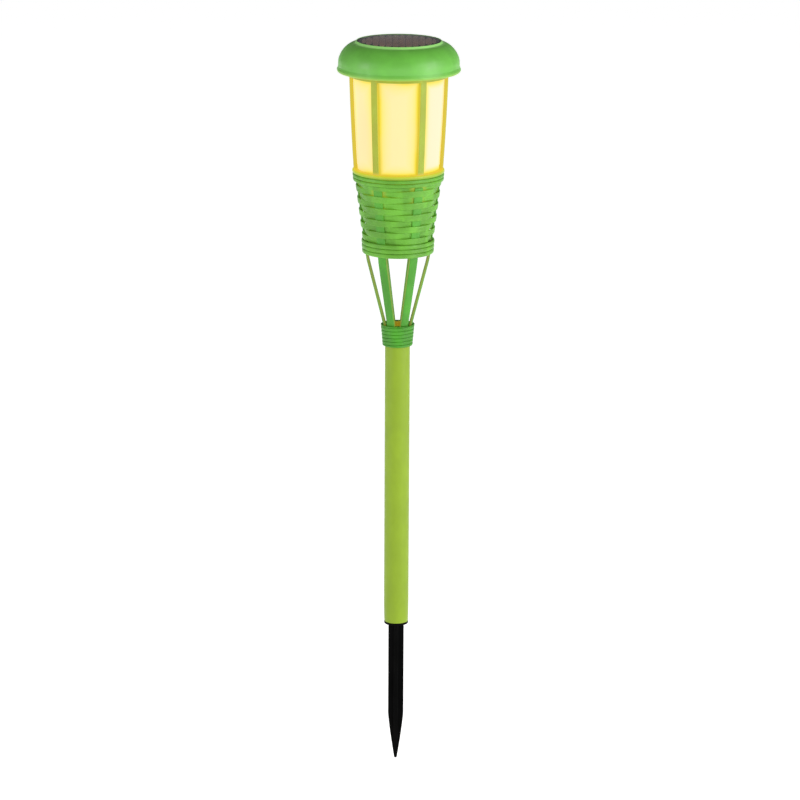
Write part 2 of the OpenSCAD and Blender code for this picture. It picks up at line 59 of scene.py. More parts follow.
SLIP = 0.1 * MM  # gap between faces that rest on each other
STAKE_W = 13.8 * MM
BLADE_T = 3.4 * MM
POINT_LEN = 44 * MM
FLANGE_T = 2 * MM
POLE_WALL = 1.2 * MM
SPIGOT_FIT = 0.05 * MM  # clearance of a plug in the pole, at each side
NECK_H = 20 * MM  # the pole's lower end, which draws in a little
NECK_IN = 0.4 * MM
WRAP_COUNT = 6
WRAP_T = 1.6 * MM
WRAP_FLARE = 0.088  # radius that the winding gains for each metre of height
WRAP_GAP = 0.3 * MM  # between a strut's face and the winding over it
STRUT_COUNT = 6
STRUT_T = 2.7 * MM
STRUT_T_TOP = 1.1 * MM
STRUT_W_LOW = 7.8 * MM
STRUT_W_MID = 8.5 * MM
STRUT_SLOPE = 0.252  # outwards, below the basket
REED_COUNT = 3
REED_T = 2 * MM
ROW_COUNT = 10
STRIP_T = 0.9 * MM
CAGE_R_LOW = 38.9 * MM
CAGE_R_TOP = 43 * MM
CAGE_BELLY = 0.4 * MM  # outward bow of the bars at mid height
BAR_W = 6.4 * MM
BAR_T = 3.4 * MM
FOOT_RING_H = 0.6 * MM
HEAD_RING_H = 7 * MM
HEAD_RING_IN = 39.9 * MM
LATCH_R = 37.8 * MM  # inside of the bayonet's flange
LATCH_H = 2 * MM
LUG_COUNT = 3
CAP_TWIST = math.radians(22)
SLEEVE_T = 1.2 * MM
SHELL_T = 2.2 * MM
ROOF_T = 1.8 * MM
RIM_H = 1.8 * MM  # bevelled rim round the solar panel
DOME_POWER = 1.7  # 2 is an ellipse, and less is flatter
BOSS_COUNT = 3
BOSS_RING = 46 * MM
CELL_COUNT = 12


# ---- places that the frame gives ----

boxes = {node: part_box(node) for node in frame["nodes"]}


def low(node):
    return boxes[node][0]


def high(node):
    return boxes[node][1]


def reach(node):
    """Largest distance of a node from the axis, along X."""
    return max(-low(node).x, high(node).x)


stake_tip = low("ground_stake").z
spigot_r = high("pole_tube").x - POLE_WALL - SPIGOT_FIT
collar_z = low("collar_wraps").z
collar_top = high("collar_wraps").z
basket_z = low("bottom_reed_1").z
weave_z = low("weave_row_1").z
weave_top = high("weave_row_10").z
rim_top = high("top_reed_3").z
cap_z = low("cap_shell").z
cap_top = high("cap_shell").z
strut_foot = low("strut_1").z
strut_top = high("strut_1").z
cage_z = rim_top
cage_top = high("lantern_cage").z

weave_flare = (reach("weave_row_9") - reach("weave_row_1")) / (
    high("weave_row_9").z - high("weave_row_1").z
)
wrap_pitch = (collar_top - collar_z) / WRAP_COUNT


def weave_out(z):
    """Outer radius of the woven wall."""
    return reach("weave_row_1") + weave_flare * (z - high("weave_row_1").z)


def wrap_out(z):
    """Outer radius of the collar's winding."""
    return reach("collar_wraps") + WRAP_FLARE * (z - collar_top + wrap_pitch / 2)


face_back = weave_out(strut_top) - reach("strut_1")
bend_z = basket_z - 6 * MM


def strut_face(z):
    """Radius of a strut's outer face: on the collar, out along the flare, then up inside the weave."""
    if z > bend_z:
        return weave_out(z) - face_back
    flared = weave_out(bend_z) - face_back - STRUT_SLOPE * (bend_z - z)
    return max(flared, wrap_out(z) - WRAP_T - WRAP_GAP)


def cage_out(z):
    """Outer radius of the cage's bars."""
    t = (z - cage_z) / (cap_z - cage_z)
    return CAGE_R_LOW + (CAGE_R_TOP - CAGE_R_LOW) * t + 4 * CAGE_BELLY * t * (1 - t)


# ---- mesh helpers ----

def rounded_box(half_across, half_up, power, count):
    """Closed outline of a box with soft corners, as (across, up) pairs. A higher power is squarer."""
    a = np.arange(count) * TURN / count
    c, s = np.cos(a), np.sin(a)
    return np.stack([
        half_across * np.sign(c) * np.abs(c) ** (2 / power),
        half_up * np.sign(s) * np.abs(s) ** (2 / power),
    ], axis=-1)


def rounded(corners, radius, steps=5):
    """Closed outline whose corners are rounded. A corner (r, z, own) keeps its own radius."""
    points = []
    count = len(corners)
    for i, corner in enumerate(corners):
        here = np.array(corner[:2], float)
        before = np.array(corners[i - 1][:2], float) - here
        after = np.array(corners[(i + 1) % count][:2], float) - here
        want = corner[2] if len(corner) > 2 else radius
        reach_back = np.linalg.norm(before)
        reach_on = np.linalg.norm(after)
        before, after = before / reach_back, after / reach_on
        cosine = float(np.clip(before @ after, -1, 1))
        half = math.acos(cosine) / 2
        nearly_straight = half > math.radians(88)
        if want <= 0 or nearly_straight:
            points.append(here)
            continue
        share = 0.48  # of a side that one corner may take, so that two corners don't meet
        cut = min(want / math.tan(half), share * reach_back, share * reach_on)
        start, end = here + before * cut, here + after * cut
        for k in range(steps + 1):
            t = k / steps
            points.append((1 - t) ** 2 * start + 2 * t * (1 - t) * here + t * t * end)
    return np.array(points)


def skin(name, grid, loop=True):
    """Closed mesh over a grid of rings, a loop of rings or a stack that ends in two faces."""
    rings, sides = grid.shape[:2]
    faces = []
    for i in range(rings if loop else rings - 1):
        a, b = i * sides, (i + 1) % rings * sides
        for k in range(sides):
            n = (k + 1) % sides
            faces.append((a + k, a + n, b + n, b + k))
    if not loop:
        faces.append(tuple(range(sides)))
        faces.append(tuple(range((rings - 1) * sides, rings * sides)))
    mesh = bpy.data.meshes.new(name)
    mesh.from_pydata(grid.reshape(-1, 3).tolist(), [], faces)
    clean(mesh)
    return mesh


def clean(mesh):
    """Points that meet are joined, and every face looks outwards."""
    same_place = 1e-7
    bm = bmesh.new()
    bm.from_mesh(mesh)
    bmesh.ops.remove_doubles(bm, verts=bm.verts, dist=same_place)
    bmesh.ops.dissolve_degenerate(bm, edges=bm.edges, dist=same_place)
    bmesh.ops.recalc_face_normals(bm, faces=bm.faces)
    bm.to_mesh(mesh)
    bm.free()


def spun(outline, angles):
    """Grid of a closed (r, z) outline, set at each angle about the axis."""
    r, z = outline[:, 0], outline[:, 1]
    return np.stack([
        np.outer(np.cos(angles), r), np.outer(np.sin(angles), r),
        np.broadcast_to(z, (len(angles), len(z))),
    ], axis=-1)


def lathe(name, outline, segments):
    """Solid of revolution of a closed (r, z) outline. Points on the axis close to a pole."""
    return skin(name, spun(outline, np.arange(segments) * TURN / segments))


def sector(name, outline, middle, angle, segments):
    """Part of a solid of revolution that spans the angle about its middle, in radians."""
    angles = middle + np.linspace(-angle / 2, angle / 2, segments)
    return skin(name, spun(outline, angles), loop=False)


def sweep(name, centres, outward, upward, outlines, loop):
    """Mesh of outlines carried along a line of centres."""
    across = outward[:, None] * outlines[..., :1]
    up = upward[:, None] * outlines[..., 1:]
    return skin(name, centres[:, None] + across + up, loop)


def rising_sweep(name, radius, z, depth, outlines):
    """A bar in the XZ plane whose outer face is at a radius for each height, and that is so deep."""
    tilt = np.arctan(np.gradient(radius, z))
    outward = np.stack([np.cos(tilt), np.zeros_like(z), -np.sin(tilt)], axis=-1)
    sideways = np.tile([0.0, 1.0, 0.0], (len(z), 1))
    face = np.stack([radius, np.zeros_like(z), z], axis=-1)
    return sweep(name, face - outward * depth[:, None] / 2, outward, sideways, outlines, loop=False)


def ring_strip(name, angles, radius, z, outlines, lean=0.0, loop=True):
    """A strip round the axis: outlines of (outward, upward) offsets about a radius and height."""
    flat = np.stack([np.cos(angles), np.sin(angles), np.zeros_like(angles)], axis=-1)
    up = np.array([0.0, 0.0, 1.0])
    tilt = math.atan(lean)
    outward = flat * math.cos(tilt) - up * math.sin(tilt)
    upward = flat * math.sin(tilt) + up * math.cos(tilt)
    centres = flat * radius[:, None] + up * z[:, None]
    return sweep(name, centres, outward, upward, outlines, loop)


def ripple(angles, seed, size):
    """A small wander round a ring that closes on itself."""
    waves = (2, 3, 5, 8, 13)
    rng = np.random.default_rng(seed)
    total = np.zeros_like(angles)
    for w in waves:
        total += rng.uniform(-1, 1) * np.sin(w * angles + rng.uniform(0, TURN))
    return size * total / math.sqrt(len(waves))


def joined(name, meshes):
    """One mesh of several closed shells."""
    bm = bmesh.new()
    for mesh in meshes:
        bm.from_mesh(mesh)
    whole = bpy.data.meshes.new(name)
    bm.to_mesh(whole)
    bm.free()
    return whole


def turned(mesh, angle):
    """A copy of a mesh turned about the axis."""
    copy = mesh.copy()
    copy.transform(Matrix.Rotation(angle, 4, "Z"))
    return copy


def set_painted_glow(mesh, values):
    """How much painted lamp light each point of the mesh shows, one value or one a point."""
    glow = mesh.attributes.new("glow", "FLOAT", "POINT")
    glow.data.foreach_set("value", np.full(len(mesh.vertices), values, np.float32))


def points_of(mesh):
    co = np.empty(len(mesh.vertices) * 3)
    mesh.vertices.foreach_get("co", co)
    return co.reshape(-1, 3)


def off_axis(co):
    """Distance of each point from the axis."""
    return np.hypot(co[:, 0], co[:, 1])


def off_strut(co, radius):
    """Distance of each point, round the axis, from the middle of the nearest strut or bar."""
    steps = np.arctan2(co[:, 1], co[:, 0]) * STRUT_COUNT / TURN
    return np.abs((steps + 0.5) % 1 - 0.5) * TURN / STRUT_COUNT * radius


def placed(name, data):
    """A new object in the scene."""
    obj = bpy.data.objects.new(name, data)
    bpy.context.scene.collection.objects.link(obj)
    return obj


def piece(name, mesh, body, nodes, look):
    """Puts a finished mesh in the scene as the piece that stands for the CAD nodes."""
    crease = math.radians(35)
    mesh.materials.append(look)
    mesh.shade_smooth()
    mesh.set_sharp_from_angle(angle=crease)
    obj = placed(name, mesh)
    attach(obj, body)
    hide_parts(*nodes)


# ---- materials ----

def srgb(r, g, b):
    """Scene colour of a colour given as 0 to 255 display values."""
    def line(v):
        v /= 255
        return v / 12.92 if v <= 0.04045 else ((v + 0.055) / 1.055) ** 2.4
    return (line(r), line(g), line(b), 1.0)


class Look:
    """A material: one Principled shader, and short ways to add the nodes that drive it."""

    def __init__(self, name, roughness, plain=()):
        self.material = bpy.data.materials.new(name)
        self.material.use_nodes = True
        self.tree = self.material.node_tree
        self.shader = self.tree.nodes["Principled BSDF"]
        self.shader.inputs["Roughness"].default_value = roughness
        for socket, value in dict(plain).items():
            self.shader.inputs[socket].default_value = value
        self.place = self.tree.nodes.new("ShaderNodeTexCoord").outputs["Object"]

    def feed(self, socket, source):
        """Links a node's output to the socket, or sets the socket's own value."""
        if isinstance(source, bpy.types.NodeSocket):
            self.tree.links.new(source, socket)
        else:
            socket.default_value = source

    def drive(self, socket, source):
        self.feed(self.shader.inputs[socket], source)

    def math(self, operation, a, b, clamp=False):
        node = self.tree.nodes.new("ShaderNodeMath")
        node.operation = operation
        node.use_clamp = clamp
        self.feed(node.inputs[0], a)
        self.feed(node.inputs[1], b)
        return node.outputs[0]

    def stretch(self, scale):
        """The place on the object, multiplied along X, Y and Z."""
        node = self.tree.nodes.new("ShaderNodeVectorMath")
        node.operation = "MULTIPLY"
        self.feed(node.inputs[0], self.place)
        node.inputs[1].default_value = scale
        return node.outputs[0]

    def noise(self, scale, detail=2.0, roughness=0.55):
        """Noise with that many grains a metre along X, Y and Z."""
        node = self.tree.nodes.new("ShaderNodeTexNoise")
        self.feed(node.inputs["Vector"], self.stretch(scale))
        node.inputs["Scale"].default_value = 1.0
        node.inputs["Detail"].default_value = detail
        node.inputs["Roughness"].default_value = roughness
        return node.outputs["Fac"]

    def spread(self, value, from_low, from_high, to_low=0.0, to_high=1.0):
        """A smooth step of the value from one range to the other."""
        node = self.tree.nodes.new("ShaderNodeMapRange")
        node.interpolation_type = "SMOOTHSTEP"
        ends = (value, from_low, from_high, to_low, to_high)
        for socket, source in zip(node.inputs, ends):
            self.feed(socket, source)
        return node.outputs[0]

    def mix(self, factor, a, b):
        """Colour a where the factor is 0, and b where it is 1."""
        node = self.tree.nodes.new("ShaderNodeMix")
        node.data_type = "RGBA"
        ends = {socket.identifier: socket for socket in (*node.inputs, *node.outputs)}
        self.feed(ends["Factor_Float"], factor)
        self.feed(ends["A_Color"], a)
        self.feed(ends["B_Color"], b)
        return ends["Result_Color"]

    def ramp(self, value, stops):
        """Colour by value, from (position, colour) stops."""
        node = self.tree.nodes.new("ShaderNodeValToRGB")
        self.feed(node.inputs[0], value)
        ramp = node.color_ramp
        ramp.elements[0].position, ramp.elements[0].color = stops[0]
        ramp.elements[1].position, ramp.elements[1].color = stops[-1]
        for position, colour in stops[1:-1]:
            ramp.elements.new(position).color = colour
        return node.outputs["Color"]

    def parts(self):
        """The place on the object as X, Y and Z."""
        node = self.tree.nodes.new("ShaderNodeSeparateXYZ")
        self.feed(node.inputs[0], self.place)
        return node.outputs

    def stored(self, name):
        node = self.tree.nodes.new("ShaderNodeAttribute")
        node.attribute_name = name
        return node.outputs["Fac"]

    def bump(self, height, distance):
        """Fine relief of that depth in metres, on top of any that is there."""
        node = self.tree.nodes.new("ShaderNodeBump")
        node.inputs["Distance"].default_value = distance
        self.feed(node.inputs["Height"], height)
        if self.shader.inputs["Normal"].is_linked:
            self.feed(node.inputs["Normal"], self.shader.inputs["Normal"].links[0].from_socket)
        self.drive("Normal", node.outputs[0])


REED_GREEN = srgb(88, 150, 37)
FRAME_GREEN = srgb(88, 146, 26)
# A darker copy of the green for the collar's winding, the struts and the cup: painted shade under the
# basket.
SHADED_COLLAR_GREEN = srgb(60, 136, 24)
CAP_GREEN = srgb(92, 165, 56)
POLE_LIME = srgb(123, 150, 14)
# Painted lamp light: a plastic's base colour fades to this dark colour where its painted glow is full.
PAINTED_LAMPLIT_BASE = srgb(40, 28, 4)  # what is left of a plastic's own colour where all of its light is the lamp's
REED_GRAIN = (60, 60, 2600)
MOULD_GRAIN = (2200, 2200, 90)


def plastic(name, colour, light, dark, roughness, grain, grain_depth, plain=()):
    """Moulded or drawn plastic: soft colour clouds, fine specks, uneven gloss and a grained skin."""
    look = Look(name, roughness, plain)
    clouds = look.noise((70, 70, 40), detail=3)
    tone = look.mix(look.spread(clouds, 0.35, 0.7), dark, light)
    specks = look.noise((2600, 2600, 2600), detail=1)
    tone = look.mix(look.spread(specks, 0.62, 0.8, 0, 0.35), tone, colour)
    look.drive("Base Color", tone)
    look.tone = tone
    gloss = look.noise((220, 220, 160), detail=3)
    look.drive("Roughness", look.spread(gloss, 0.3, 0.75, roughness - 0.06, roughness + 0.1))
    look.bump(look.noise(grain, detail=2), grain_depth)
    return look


def paint_lamplight(look, colour, faint=None):
    """Painted lamp light: emission as strong as the mesh's glow, over a base colour darkened to match;
    where the glow is weak the emission takes the faint colour, a painted green fill.
    """
    glow = look.stored("glow")
    # The base colour darkens where painted lamp light takes over.
    look.drive("Base Color", look.mix(glow, look.tone, PAINTED_LAMPLIT_BASE))
    if faint is not None:
        colour = look.mix(look.spread(glow, 0.1, 0.24), faint, colour)
    look.drive("Emission Color", colour)
    look.drive("Emission Strength", glow)


def shades(colour, spread=0.12):
    """A colour with its lighter and darker neighbours."""
    light = tuple(min(1.0, v * (1 + spread)) for v in colour[:3]) + (1.0,)
    dark = tuple(v * (1 - spread) for v in colour[:3]) + (1.0,)
    return colour, light, dark


def reed_look(name, colour):
    """Drawn strip with fine streaks along it."""
    plain = {"Specular IOR Level": 0.36}
    look = plastic(name, *shades(colour, 0.16), 0.42, REED_GRAIN, 0.25 * MM, plain)
    look.bump(look.noise((900, 900, 900), detail=2), 0.05 * MM)
    # Painted lamp light: yellow glints where strong, and painted green fill light in recesses where
    # faint.
    paint_lamplight(look, srgb(227, 222, 44), faint=srgb(140, 226, 60))
    return look.material


def frame_look(name, colour, painted_lamp_colour):
    """Moulded struts and bars, grained along their length, with painted lamp light and a faint painted
    green fill.
    """
    look = plastic(name, *shades(colour), 0.42, MOULD_GRAIN, 0.08 * MM, {"Specular IOR Level": 0.4})
    paint_lamplight(look, painted_lamp_colour, faint=srgb(120, 214, 50))
    return look.material


def cap_look():
    """Fine grained plastic, with a painted highlight on the bevelled rim round the panel and painted
    lamp light under the lip.
    """
    look = plastic("cap_green", *shades(CAP_GREEN, 0.06), 0.4, (1500, 1500, 1500), 0.05 * MM)
    z = look.parts()["Z"]
    # Painted highlight: the bevelled rim is made paler, as if it caught the side light.
    rim = look.spread(z, cap_top - RIM_H - 0.5 * MM, cap_top - RIM_H, 0, 0.7)
    look.tone = look.mix(rim, look.tone, srgb(150, 212, 118))
    paint_lamplight(look, srgb(220, 205, 50))
    return look.material


def pole_look():
    """Drawn tube with faint streaks along it and a few scuffs across."""
    plain = {"Specular IOR Level": 0.38}
    look = plastic("pole_lime", *shades(POLE_LIME, 0.05), 0.42, (1800, 1800, 30), 0.05 * MM, plain)
    scuffs = look.noise((260, 260, 3400), detail=4, roughness=0.7)
    worn = look.spread(scuffs, 0.7, 0.78, 0, 0.2)
    look.drive("Base Color", look.mix(worn, look.tone, shades(POLE_LIME, 0.35)[1]))
    return look.material


def stake_look():
    black, light, dark = ((v, v, v, 1) for v in (0.0012, 0.002, 0.0008))
    plain = {"Specular IOR Level": 0.03}
    return plastic("stake_black", black, light, dark, 0.6, (1600, 1600, 500), 0.08 * MM, plain).material


def sleeve_look(z_low, z_high, radius):
    """Frosted plastic lit from within: yellower near a bar or an end, with a painted sheen towards +X,
    and dim in the basket with painted green bounce light.
    """
    look = Look("sleeve_frosted", 0.55, {"Specular IOR Level": 0.2, "Emission Strength": 1.0})
    x, y, z = look.parts()
    angle = look.math("ARCTAN2", y, x)
    off_bar = look.math("PINGPONG", angle, TURN / STRUT_COUNT / 2)
    side_gap = look.math("SUBTRACT", look.math("MULTIPLY", off_bar, radius), BAR_W / 2)
    foot_gap = look.math("SUBTRACT", z, z_low)
    head_gap = look.math("SUBTRACT", z_high, z)
    foot_pull, head_pull, wander = 1.2, 0.9, 1.5 * MM
    gap = look.math("MINIMUM", side_gap, look.math("MULTIPLY", foot_gap, foot_pull))
    gap = look.math("MINIMUM", gap, look.math("MULTIPLY", head_gap, head_pull))
    cloud = look.noise((45, 45, 30), detail=2)
    gap = look.math("ADD", gap, look.math("MULTIPLY", look.math("SUBTRACT", cloud, 0.5), wander))
    margin = 11 * MM
    lit = look.ramp(look.math("DIVIDE", gap, margin, clamp=True), [
        (0.0, srgb(224, 206, 50)),
        (0.08, srgb(246, 222, 72)),
        (0.24, srgb(253, 230, 122)),
        (0.55, srgb(254, 231, 150)),
        (1.0, srgb(254, 232, 168)),
    ])
    warmth = look.noise((26, 26, 18), detail=2)
    lit = look.mix(look.spread(warmth, 0.4, 0.68, 0, 0.6), lit, srgb(255, 222, 166))
    # Painted sheen: paler towards +X, where the right-hand light falls, away from the bars.
    right = look.spread(x, 8 * MM, 30 * MM, 0, 0.75)
    pale = look.math("MULTIPLY", right, look.spread(gap, 2 * MM, 7 * MM))
    lit = look.mix(pale, lit, srgb(252, 236, 210))
    # Inside the basket the emission dims towards the foot and turns green, a painted bounce light from
    # the strips.
    basket_h = 62 * MM
    dim_green_bounce = look.ramp(look.spread(z, z_low - basket_h, z_low), [
        (0.0, srgb(62, 112, 22)),
        (0.6, srgb(88, 138, 26)),
        (0.88, srgb(146, 170, 36)),
        (1.0, srgb(206, 190, 48)),
    ])
    above = look.spread(z, z_low - 1.5 * MM, z_low + 0.2 * MM)
    look.drive("Base Color", srgb(70, 62, 34))
    look.drive("Emission Color", look.mix(above, dim_green_bounce, lit))
    look.bump(look.noise((1400, 1400, 1400), detail=3), 0.04 * MM)
    return look.material


def cell_look():
    """Dark cell strips with fine contact lines across them."""
    look = Look("solar_cells", 0.3, {"Specular IOR Level": 0.12})
    half_pitch, half_line = 1.1 * MM, 0.09 * MM
    line = look.math("PINGPONG", look.parts()["Y"], half_pitch)
    wire = look.spread(line, 0.0, half_line, 1.0, 0.0)
    crystal = look.noise((320, 320, 320), detail=4)
    base = look.mix(look.spread(crystal, 0.35, 0.65), srgb(170, 142, 118), srgb(196, 170, 144))
    look.drive("Base Color", look.mix(wire, base, srgb(176, 158, 144)))
    look.drive("Roughness", look.spread(crystal, 0.3, 0.7, 0.3, 0.5))
    look.bump(crystal, 0.03 * MM)
    return look.material


def glaze_look():
    """Clear resin with a faint haze."""
    clear = {"Transmission Weight": 1.0, "IOR": 1.07, "Specular IOR Level": 0.2}
    look = Look("panel_resin", 0.05, clear)
    haze = look.noise((400, 400, 400), detail=3)
    look.drive("Base Color", look.mix(haze, srgb(206, 196, 200), srgb(226, 220, 222)))
    look.drive("Roughness", look.spread(haze, 0.35, 0.7, 0.02, 0.1))
    look.bump(look.noise((120, 120, 120), detail=1), 0.02 * MM)
    return look.material


def simple_look(name, colour, roughness, plain=()):
    """Plain stock of the inner parts, with its own small unevenness."""
    light = tuple(min(1.0, v * 1.25 + 0.004) for v in colour) + (1.0,)
    dark = tuple(v * 0.8 for v in colour) + (1.0,)
    grain, depth = (1200, 1200, 1200), 0.04 * MM
    return plastic(name, colour + (1.0,), light, dark, roughness, grain, depth, plain).material


weave_look = reed_look("reed_green", REED_GREEN)
winding_look = reed_look("winding_green", SHADED_COLLAR_GREEN)
# The last colour of each frame look is its painted lamp light.
cage_look = frame_look("cage_green", FRAME_GREEN, srgb(232, 196, 44))
strut_look = frame_look("strut_green", SHADED_COLLAR_GREEN, srgb(172, 150, 66))
cup_look = frame_look("cup_green", SHADED_COLLAR_GREEN, srgb(176, 136, 14))
INNER_LOOKS = {
    "black_rubber": simple_look("seal_rubber", (0.02, 0.02, 0.02), 0.75),
    "board_green": simple_look("solder_mask", (0.008, 0.03, 0.012), 0.5, {"Specular IOR Level": 0.06}),
    "wire_red": simple_look("red_insulation", (0.5, 0.03, 0.02), 0.45),
    "wire_black": simple_look("black_insulation", (0.02, 0.02, 0.02), 0.45),
    "inner_plastic": simple_look("inner_black", (0.04, 0.04, 0.045), 0.5),
    "screw_steel": simple_look("zinc_steel", (0.6, 0.6, 0.6), 0.32, {"Metallic": 1.0}),
    "white_plastic": simple_look("bright_white", (0.85, 0.84, 0.8), 0.3),
    "part_black": simple_look("part_black", (0.03, 0.03, 0.03), 0.5),
    "switch_plastic": simple_look("switch_orange", (0.75, 0.12, 0.02), 0.45),
    "battery_wrap": simple_look("battery_sleeve", (0.05, 0.3, 0.12), 0.3),
    "contact_metal": simple_look("nickel", (0.7, 0.7, 0.68), 0.22, {"Metallic": 1.0}),
}


def lamp_look():
    """The lit lens of the LED."""
    look = Look("led_lens", 0.12)
    cloud = look.noise((500, 500, 500))
    look.drive("Base Color", look.mix(cloud, srgb(255, 232, 170), srgb(255, 240, 200)))
    look.drive("Emission Color", look.mix(cloud, srgb(255, 214, 120), srgb(255, 226, 150)))
    look.drive("Emission Strength", 2.5)
    return look.material


INNER_LOOKS["led_resin"] = lamp_look()


# ---- ground stake and pole ----

def blade_section(half_w, half_t, bevel):
    """Outline of two crossed blades with softened corners, as (x, y) pairs."""
    arm = [(half_w, -half_t, bevel), (half_w, half_t, bevel), (half_t, half_t, 1.4 * bevel)]
    corners = [
        (x * c - y * s, x * s + y * c, r)
        for c, s in ((1, 0), (0, 1), (-1, 0), (0, -1)) for x, y, r in arm
    ]
    return rounded(corners, bevel, steps=4)


def ground_stake():
    """Crossed blades that taper to a blunt tip, under the flange and the plug of the pole."""
    shoulder, blunt_z = stake_tip + POINT_LEN, stake_tip + 1.2 * MM
    rows = [(0.4 * MM, 1.0)]  # heights, each with its share of the blades' full width
    rows += [(z, 1.0) for z in np.linspace(-3 * MM, shoulder + 4 * MM, 16)]
    for t in np.linspace(0, 1, 26):
        rows.append((shoulder + (blunt_z - shoulder) * t, 1 - 0.82 * t ** 1.25))
    rows += [(stake_tip + 0.4 * MM, 0.12), (stake_tip + 0.02 * MM, 0.04)]
    layers = []
    for z, share in rows:
        half_w = STAKE_W / 2 * share
        half_t = min(BLADE_T / 2, 0.72 * half_w)
        outline = blade_section(half_w, half_t, min(0.5 * MM, 0.3 * half_t))
        layers.append(np.column_stack([outline, np.full(len(outline), z)]))
    blades = skin("blades", np.array(layers), loop=False)
    flange_r = reach("ground_stake")
    plug_top = high("ground_stake").z
    plug_in = spigot_r - 2.2 * MM
    plug_floor = FLANGE_T + 3 * MM
    plug = lathe("plug", rounded([
        (0, 0), (flange_r, 0), (flange_r, FLANGE_T), (spigot_r, FLANGE_T),
        (spigot_r, plug_top - 1.2 * MM), (spigot_r - 1 * MM, plug_top), (plug_in, plug_top),
        (plug_in, plug_floor), (0, plug_floor),
    ], 0.45 * MM), 128)
    mesh = joined("stake_moulding", [blades, plug])
    piece("stake_moulding", mesh, "stake", ["ground_stake"], stake_look())


def pole():
    """A tube that necks in a little at its lower end."""
    lo, hi = boxes["pole_tube"]
    r = hi.x
    outline = [(r - POLE_WALL, lo.z), (r - NECK_IN, lo.z, 0.3 * MM)]
    for t in np.linspace(0, 1, 9)[1:]:
        outline.append((r - NECK_IN * (1 - t) ** 1.6, lo.z + NECK_H * t, 0))
    steps = 24
    for k in range(1, steps):
        outline.append((r, lo.z + NECK_H + (hi.z - lo.z - NECK_H) * k / steps, 0))
    outline += [(r, hi.z), (r - POLE_WALL, hi.z)]
    mesh = lathe("pole_shaft", rounded(outline, 0.3 * MM), 160)
    piece("pole_shaft", mesh, "pole", ["pole_tube"], pole_look())


# ---- collar, struts and basket ----

def collar_cup():
    """A cup inside the struts' feet, with painted lamp light on its inside, over the spigot that plugs
    into the pole.
    """
    wall = 1.6 * MM
    low_r = strut_face(strut_foot) - STRUT_T - SLIP
    high_r = strut_face(collar_top - 1 * MM) - STRUT_T - SLIP
    ring_r = wrap_out(collar_z) - WRAP_T - SLIP
    spigot_in = spigot_r - 2 * MM
    spigot_foot = low("collar_core").z
    roof, ring_top, floor, brim = (
        collar_z + 1.4 * MM, collar_z + 2.6 * MM, collar_z + 3.4 * MM, collar_top - 0.2 * MM
    )
    mesh = lathe("collar_cup", rounded([
        (0, roof), (spigot_in, roof), (spigot_in, spigot_foot), (spigot_r - 0.8 * MM, spigot_foot),
        (spigot_r, spigot_foot + 1 * MM), (spigot_r, collar_z), (ring_r, collar_z),
        (ring_r, ring_top), (low_r, ring_top), (low_r, strut_foot),
        (high_r, brim), (high_r - wall, brim), (low_r - wall, floor), (0, floor),
    ], 0.35 * MM), 128)
    co = points_of(mesh)
    mid_wall = np.interp(co[:, 2], [collar_z, collar_top], [low_r - 1 * MM, high_r - 1 * MM])
    inside = (off_axis(co) < mid_wall) & (co[:, 2] > collar_z + 3 * MM)
    # Painted lamp light on the cup's inner wall.
    set_painted_glow(mesh, np.where(inside, 0.6, 0.0))
    piece("collar_cup", mesh, "head", ["collar_core"], cup_look)


def collar_winding():
    """One strip wound six times, its ends tapered off so that the winding ends flat."""
    turns, steps_a_turn, first_angle = WRAP_COUNT + 1, 120, 0.6
    u = np.linspace(0.02, turns - 0.02, turns * steps_a_turn)
    angles = u * TURN + first_angle
    foot = np.clip(collar_z + (u - 1) * wrap_pitch, collar_z, collar_top)
    head = np.clip(collar_z + u * wrap_pitch, collar_z, collar_top)
    middle = (foot + head) / 2
    half_up = (head - foot) / 2 - 0.03 * MM
    outline = rounded_box(1.0, 1.0, power=2.6, count=20)
    outlines = outline[None] * np.stack([np.full_like(u, WRAP_T / 2), half_up], axis=-1)[:, None]
    radius = wrap_out(middle) - WRAP_T / 2 + ripple(angles, 41, 0.05 * MM)
    mesh = ring_strip("collar_winding", angles, radius, middle, outlines, lean=WRAP_FLARE, loop=False)
    set_painted_glow(mesh, 0)
    piece("collar_winding", mesh, "head", ["collar_wraps"], winding_look)


